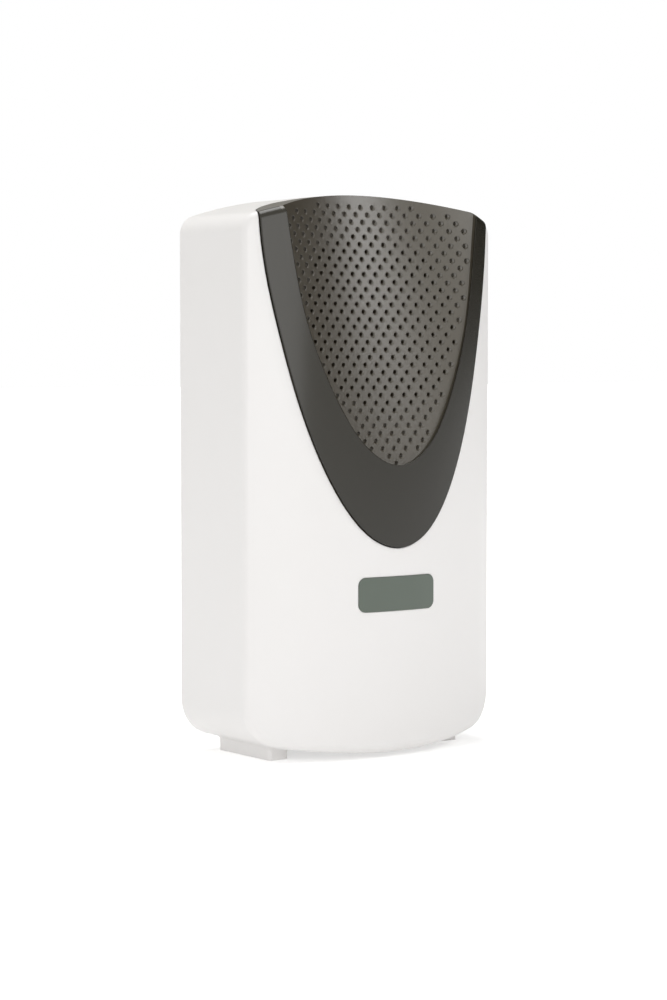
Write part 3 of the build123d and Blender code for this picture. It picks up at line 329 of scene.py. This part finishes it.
# %% [markdown]
# ## Plated metals
# The basket, screws and battery contacts are steel, plated against rust. A metal has no colour under its
# reflections: the base colour is what it reflects, and the gloss tells the platings apart.

# %% Metals
# Zinc plating on pressed steel: a cool grey metal, slightly cloudy
zinc = finish(
    "zinc_plated_steel", "#B9BDC0", "#A9ADB1", blotch_mm=4, roughness=0.34, swing=0.08, grain_mm=0.8,
    grain_depth_mm=0.01, edge_mm=0.1, Metallic=1.0,
)
dress(zinc, "speaker_frame", "speaker_top_plate", "speaker_yoke", "speaker_clamps")
dress(zinc, "speaker_screws", "cover_screws", "board_screws")

# Nickel plating: a brighter and warmer metal than zinc
nickel = finish(
    "nickel_plated_steel", "#CBC8BF", "#BDBAB1", blotch_mm=3, roughness=0.25, swing=0.05, grain_mm=0.5,
    grain_depth_mm=0.006, edge_mm=0.1, Metallic=1.0,
)
dress(nickel, "contact_plates", "contact_springs")

print("metals:", zinc.name, "and", nickel.name)

# %% [markdown]
# ## Loudspeaker
# Only black shows through the sound holes, but the case may be opened or cut away by whoever reuses the part.
# So each piece of the loudspeaker still gets the finish of the real thing. They differ only in colour, gloss
# and relief, which is why the one function for finishes is enough.

# %% Loudspeaker materials
# Sintered ferrite: a dark ceramic, dull and faintly speckled
ferrite = finish(
    "sintered_ferrite", "#3B3B3E", "#2E2E31", blotch_mm=3, roughness=0.62, swing=0.08, grain_mm=0.5,
    grain_depth_mm=0.03, edge_mm=0.2,
)
dress(ferrite, "speaker_magnet")

# Enamelled copper wire: a reddish metal with the gloss of its enamel
copper = finish(
    "enamelled_copper_wire", "#B5683A", "#9C5630", blotch_mm=2, roughness=0.3, swing=0.05, grain_mm=0.3,
    grain_depth_mm=0.02, Metallic=1.0,
)
dress(copper, "voice_coil")

# Paper pulp, pressed and dyed black: fibrous, with hardly any gloss
paper = finish(
    "pressed_black_paper", "#1B1B1D", "#242426", blotch_mm=3, roughness=0.85, swing=0.05, grain_mm=0.6,
    grain_depth_mm=0.04,
)
dress(paper, "speaker_cone", "dust_cap")

# Woven mesh: black, so that the sound holes look deep
mesh_cloth = finish(
    "black_acoustic_mesh", "#050505", "#0A0A0A", blotch_mm=2, roughness=0.9, swing=0.04, grain_mm=0.4,
    grain_depth_mm=0.03,
)
dress(mesh_cloth, "acoustic_cloth")

# Closed-cell foam: dull black, with the deepest relief of these
foam = finish(
    "closed_cell_foam", "#141414", "#1D1D1D", blotch_mm=2, roughness=0.9, swing=0.05, grain_mm=0.5,
    grain_depth_mm=0.06,
)
dress(foam, "speaker_gasket")

# Moulded rubber: dark, with a weak and broad sheen
soft_rubber = finish(
    "moulded_rubber", "#17171A", "#1E1E20", blotch_mm=5, roughness=0.55, swing=0.05, grain_mm=0.5,
    grain_depth_mm=0.01,
)
dress(soft_rubber, "speaker_surround")

# Cotton stiffened with resin: a matt amber cloth
stiffened_cotton = finish(
    "stiffened_cotton", "#C08D46", "#A9773A", blotch_mm=2, roughness=0.8, swing=0.05, grain_mm=0.4,
    grain_depth_mm=0.05,
)
dress(stiffened_cotton, "speaker_spider")

# Paper board bonded with phenolic resin: brown, with a weak gloss
phenolic = finish(
    "phenolic_paper_board", "#7A4E2E", "#6A4226", blotch_mm=3, roughness=0.5, swing=0.05, grain_mm=0.4,
    grain_depth_mm=0.01,
)
dress(phenolic, "speaker_tag_strip")

print("loudspeaker magnet:", ferrite.name)

# %% [markdown]
# ## Board and batteries
# The open battery door shows the cells in their plain film jackets. The board behind them stays hidden, and
# is finished all the same.

# %% Board and battery materials
CELL_NUMBERS = range(1, 5)

# Solder mask: a green lacquer, glossy under a thin clear coat
solder_mask = finish(
    "green_solder_mask", "#0F5A2C", "#14693A", blotch_mm=2.5, roughness=0.25, swing=0.04, grain_mm=1.2,
    grain_depth_mm=0.02, Coat_Weight=0.5,
)
dress(solder_mask, "main_board", "radio_module")

# Epoxy, moulded round a chip: black with a soft sheen
epoxy = finish(
    "moulded_black_epoxy", "#161617", "#1D1D1F", blotch_mm=2, roughness=0.5, swing=0.05, grain_mm=0.3,
    grain_depth_mm=0.01, edge_mm=0.1,
)
dress(epoxy, "sound_chip", "tact_switches")

# A plastic sleeve shrunk on by heat: dark blue and glossy
sleeve = finish(
    "shrunk_blue_sleeve", "#16223F", "#1B294A", blotch_mm=3, roughness=0.3, swing=0.04, grain_mm=1.0,
    grain_depth_mm=0.01, edge_mm=0.2,
)
dress(sleeve, "capacitors")

# Nylon, moulded and left undyed: a creamy white with a waxy sheen
nylon = finish(
    "natural_nylon", "#E3DDCB", "#D9D2BE", blotch_mm=3, roughness=0.45, swing=0.05, grain_mm=0.5,
    grain_depth_mm=0.01, edge_mm=0.15,
)
dress(nylon, "lead_sockets", "volume_plunger", "melody_plunger")

# PVC, extruded round a wire: black and smooth
lead_pvc = finish(
    "pvc_insulation", "#1A1A1A", "#222222", blotch_mm=4, roughness=0.42, swing=0.04, grain_mm=0.8,
    grain_depth_mm=0.01,
)
dress(lead_pvc, "speaker_leads", "battery_leads", "antenna_wire")

# A plastic film shrunk on a cell: dark and smooth, with a slow ripple
jacket = finish(
    "shrunk_cell_jacket", "#22262A", "#2A2F33", blotch_mm=12, roughness=0.42, swing=0.04, grain_mm=6.0,
    grain_depth_mm=0.004, edge_mm=0.5,
)
dress(jacket, *[f"battery_cell_{number}" for number in CELL_NUMBERS])

worn = {nodes[name].data.materials[0].name for name in nodes}
print(len(nodes), "nodes wear", len(worn), "materials")

# %% [markdown]
# ## Spring wire
# Each cell's flat end rests on a conical spring of nickel-plated wire. The frame has these springs as plain
# tapered sleeves, so the wire is wound here. A curve with a round bevel would do, but rings of points worked
# out with numpy stay square to the wire, and its two cut ends are closed by one face each.

# %% Wire
WIRE_RADIUS = 0.35 * MM
RING_SIDES = 12


def tube_along(path, radius, sides):
    """Points and faces of a tube along an upright coil, closed at both ends.

    Round each point P of the path lies the ring P + r (cos a N + sin a B), where N points away from the
    coil's axis and B is square to N and to the run of the path.
    """
    run = np.gradient(path, axis=0)
    run /= np.linalg.norm(run, axis=1)[:, None]
    out = path - path.mean(axis=0)
    out[:, 2] = 0
    across = out - (out * run).sum(axis=1)[:, None] * run
    across /= np.linalg.norm(across, axis=1)[:, None]
    other = np.cross(run, across)
    angle = np.arange(sides) / sides * tau
    rings = path[:, None] + radius * (
        np.cos(angle)[None, :, None] * across[:, None] + np.sin(angle)[None, :, None] * other[:, None]
    )
    count = len(path)
    step, side = np.meshgrid(np.arange(count - 1), np.arange(sides), indexing="ij")
    next_side = (side + 1) % sides
    here = step * sides
    there = here + sides
    walls = np.stack([here + side, here + next_side, there + next_side, there + side], axis=-1)
    caps = [list(range(sides))[::-1], list(range((count - 1) * sides, count * sides))]
    return rings.reshape(-1, 3), walls.reshape(-1, 4).tolist() + caps


# %% [markdown]
# ## Spring shape
# A cone of wire is a helix whose radius shrinks as it climbs. At both ends of a real spring the wire lies
# flat for part of a turn, so that it rests evenly on its plate and on the cell.

# %% Spring path
SPRING_WIDE = 4.1 * MM
SPRING_NARROW = 2.9 * MM
SPRING_TURNS = 5
FLAT_TURNS = 0.7
STEPS_A_TURN = 32


def spring_path(centre_x, centre_y, wide_z, narrow_z):
    """A conical helix with flat end turns.

    After t turns the climb is (t - e) / (turns - 2 e), kept in 0..1, where e turns lie flat at each end.
    The height and the radius follow the climb, and the angle is 2 pi t.
    """
    turn = np.linspace(0, SPRING_TURNS, SPRING_TURNS * STEPS_A_TURN + 1)
    climb = np.clip((turn - FLAT_TURNS) / (SPRING_TURNS - 2 * FLAT_TURNS), 0, 1)
    direction = np.sign(narrow_z - wide_z)
    low = wide_z + direction * WIRE_RADIUS
    high = narrow_z - direction * WIRE_RADIUS
    reach = SPRING_WIDE + (SPRING_NARROW - SPRING_WIDE) * climb
    x = centre_x + reach * np.cos(turn * tau)
    y = centre_y + reach * np.sin(turn * tau)
    return np.column_stack((x, y, low + (high - low) * climb))


# %% [markdown]
# ## Springs in their places
# Neighbouring cells lie head to tail, so two springs stand at the bottom of the bay and two hang at its top.
# Each reaches from its plate to the flat end of its cell, and both places are read from the frame. The four
# are one mesh, because they replace one piece of the frame.

# %% Springs
springs_low, springs_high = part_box("contact_springs")
all_points, all_faces = [], []
for number in CELL_NUMBERS:
    cell_low, cell_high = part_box(f"battery_cell_{number}")
    cell_middle = (cell_low + cell_high) / 2
    foot = springs_low.z if number % 2 else springs_high.z
    head = cell_low.z if number % 2 else cell_high.z
    path = spring_path(cell_middle.x, cell_middle.y, foot, head)
    points, faces = tube_along(path, WIRE_RADIUS, RING_SIDES)
    start = sum(len(block) for block in all_points)
    all_points.append(points)
    all_faces += [[index + start for index in face] for face in faces]

coil_mesh = bpy.data.meshes.new("contact_spring_coils")
coil_mesh.from_pydata(np.concatenate(all_points).tolist(), [], all_faces)
coil_mesh.shade_smooth()
coil_mesh.materials.append(nickel)
coils = bpy.data.objects.new("contact_spring_coils", coil_mesh)
scene.collection.objects.link(coils)
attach(coils, "case")
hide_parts("contact_springs")
print("spring coils:", len(coil_mesh.vertices), "points")

# %% [markdown]
# ## Studio
# A catalogue picture of a white box on white needs even light, or the box vanishes or goes grey. The world is
# a white room whose right side is dark, as behind a black flag: that side draws the polished shield's dark
# right edge and lets the white front fall off gently. The camera sees plain white behind the box. Mirrored in
# the box, the room is a slightly warm white, and the flag stands in it too.

# %% World
scene.view_settings.view_transform = "Standard"
ROOM_LIGHT = 0.63
FLAG_SHARE = 0.05
FLAG_EDGE_IN_LIGHT = (-0.4, 0.7)
FLAG_EDGE_IN_MIRROR = (0.1, 0.85)
REFLECTOR_WHITE = "#FFFCF3"
WHITE = (1, 1, 1, 1)

world = bpy.data.worlds.new("white_room_with_a_flag")
world.use_nodes = True
scene.world = world
room = world.node_tree
room.nodes.clear()
direction = add_node(room, "ShaderNodeTexCoord").outputs["Generated"]
sideways = add_node(room, "ShaderNodeSeparateXYZ", {0: direction}).outputs["X"]
flagged = remap(room, sideways, *FLAG_EDGE_IN_MIRROR, 1.0, FLAG_SHARE)
lit = remap(room, sideways, *FLAG_EDGE_IN_LIGHT, ROOM_LIGHT, ROOM_LIGHT * FLAG_SHARE)
rays = add_node(room, "ShaderNodeLightPath").outputs
mirrored = add_node(
    room, "ShaderNodeMath", {0: rays["Is Glossy Ray"], 1: rays["Is Transmission Ray"]}, operation="MAXIMUM"
)
light = add_node(room, "ShaderNodeBackground", {"Strength": lit}, Color=WHITE)
mirror_image = add_node(room, "ShaderNodeBackground", {"Strength": flagged}, Color=linear(REFLECTOR_WHITE))
backdrop = add_node(room, "ShaderNodeBackground", Color=WHITE, Strength=1.0)
seen_in_gloss = add_node(
    room, "ShaderNodeMixShader", {0: mirrored.outputs[0], 1: light.outputs[0], 2: mirror_image.outputs[0]}
)
seen = add_node(
    room, "ShaderNodeMixShader",
    {0: rays["Is Camera Ray"], 1: seen_in_gloss.outputs[0], 2: backdrop.outputs[0]},
)
world_output = add_node(room, "ShaderNodeOutputWorld")
room.links.new(seen.outputs[0], world_output.inputs["Surface"])
print(f"room at {ROOM_LIGHT}, behind the flag at {ROOM_LIGHT * FLAG_SHARE:.3f}")

# %% [markdown]
# ## Lamps
# A large soft lamp near the camera lights the white front. A smaller soft box stands high on the right: the
# grille's recess leans back, so it mirrors that box as the broad sheen down its middle. A third hangs over
# the box and brightens its top. Each lamp is given by the way to it, how far it stands, its size, and the
# light that it brings.

# %% Lamps
middle = (cad_box[0] + cad_box[1]) / 2


def soft_box(name, turn, rise, distance, size, light):
    """A square lamp, turn degrees right of straight ahead and rise degrees up, aimed at the box.

    A square lamp of P watts brings P / (pi d)^2 times the light of a white room at d metres.
    """
    data = bpy.data.lights.new(name, "AREA")
    data.shape = "SQUARE"
    data.size = size
    data.energy = light * (pi * distance) ** 2
    lamp = bpy.data.objects.new(name, data)
    ahead = Vector((sin(radians(turn)), -cos(radians(turn)), 0))
    way = ahead * cos(radians(rise)) + Vector((0, 0, sin(radians(rise))))
    lamp.location = middle + way * distance
    lamp.rotation_euler = way.to_track_quat("Z", "Y").to_euler()
    scene.collection.objects.link(lamp)
    print(f"{name}: {data.energy:.1f} W at {distance} m")


soft_box("front_soft_box", turn=-28, rise=10, distance=1.3, size=0.9, light=0.27)
soft_box("sheen_soft_box", turn=41, rise=34.5, distance=0.5, size=0.17, light=0.22)
soft_box("top_soft_box", turn=180, rise=78, distance=1.2, size=0.8, light=0.52)

# %% [markdown]
# ## Floor
# The box stands on white paper over a light table, whose faint glow from below keeps the case's underside
# from going grey. Close to the box the paper keeps the soft shadow. Further off, the camera and reflections
# see it brighten into the plain white of the room, as a catalogue picture's background does.

# %% Floor
FLOOR_HALF = 6.0
SHADOW_REACH = 0.12
WHITE_REACH = 0.6
UNDERLIGHT = 0.14
LIFT_AT_BOX = 0.42

corners = [(-1, -1), (1, -1), (1, 1), (-1, 1)]
floor_mesh = bpy.data.meshes.new("floor")
floor_mesh.from_pydata([(x * FLOOR_HALF, y * FLOOR_HALF, 0) for x, y in corners], [], [(0, 1, 2, 3)])
floor = bpy.data.objects.new("floor", floor_mesh)
scene.collection.objects.link(floor)

floor_material, tree, output, place = start_material("matt_white_paper")
from_box = add_node(tree, "ShaderNodeVectorMath", {0: place}, operation="LENGTH").outputs["Value"]
whitened = remap(tree, from_box, SHADOW_REACH, WHITE_REACH, LIFT_AT_BOX, 1.0)
rays = add_node(tree, "ShaderNodeLightPath").outputs
seen = rays["Is Camera Ray"]
for other in ("Is Glossy Ray", "Is Transmission Ray"):
    seen = add_node(tree, "ShaderNodeMath", {0: seen, 1: rays[other]}, operation="MAXIMUM").outputs[0]
glow = add_node(tree, "ShaderNodeMix", {0: seen, 3: whitened}, data_type="FLOAT")
glow.inputs[2].default_value = UNDERLIGHT
grain = noise(tree, place, 2.0)
paper_surface = add_node(
    tree, "ShaderNodeBsdfPrincipled",
    {"Emission_Strength": glow.outputs[0], "Base_Color": two_colours(tree, grain, "#F2F2F1", "#F0F0F0")},
    Roughness=0.9,
)
paper_surface.inputs["Emission Color"].default_value = WHITE
tree.links.new(paper_surface.outputs[0], output.inputs["Surface"])
floor_mesh.materials.append(floor_material)
print(f"paper {2 * FLOOR_HALF} m wide, plain white from {WHITE_REACH} m")
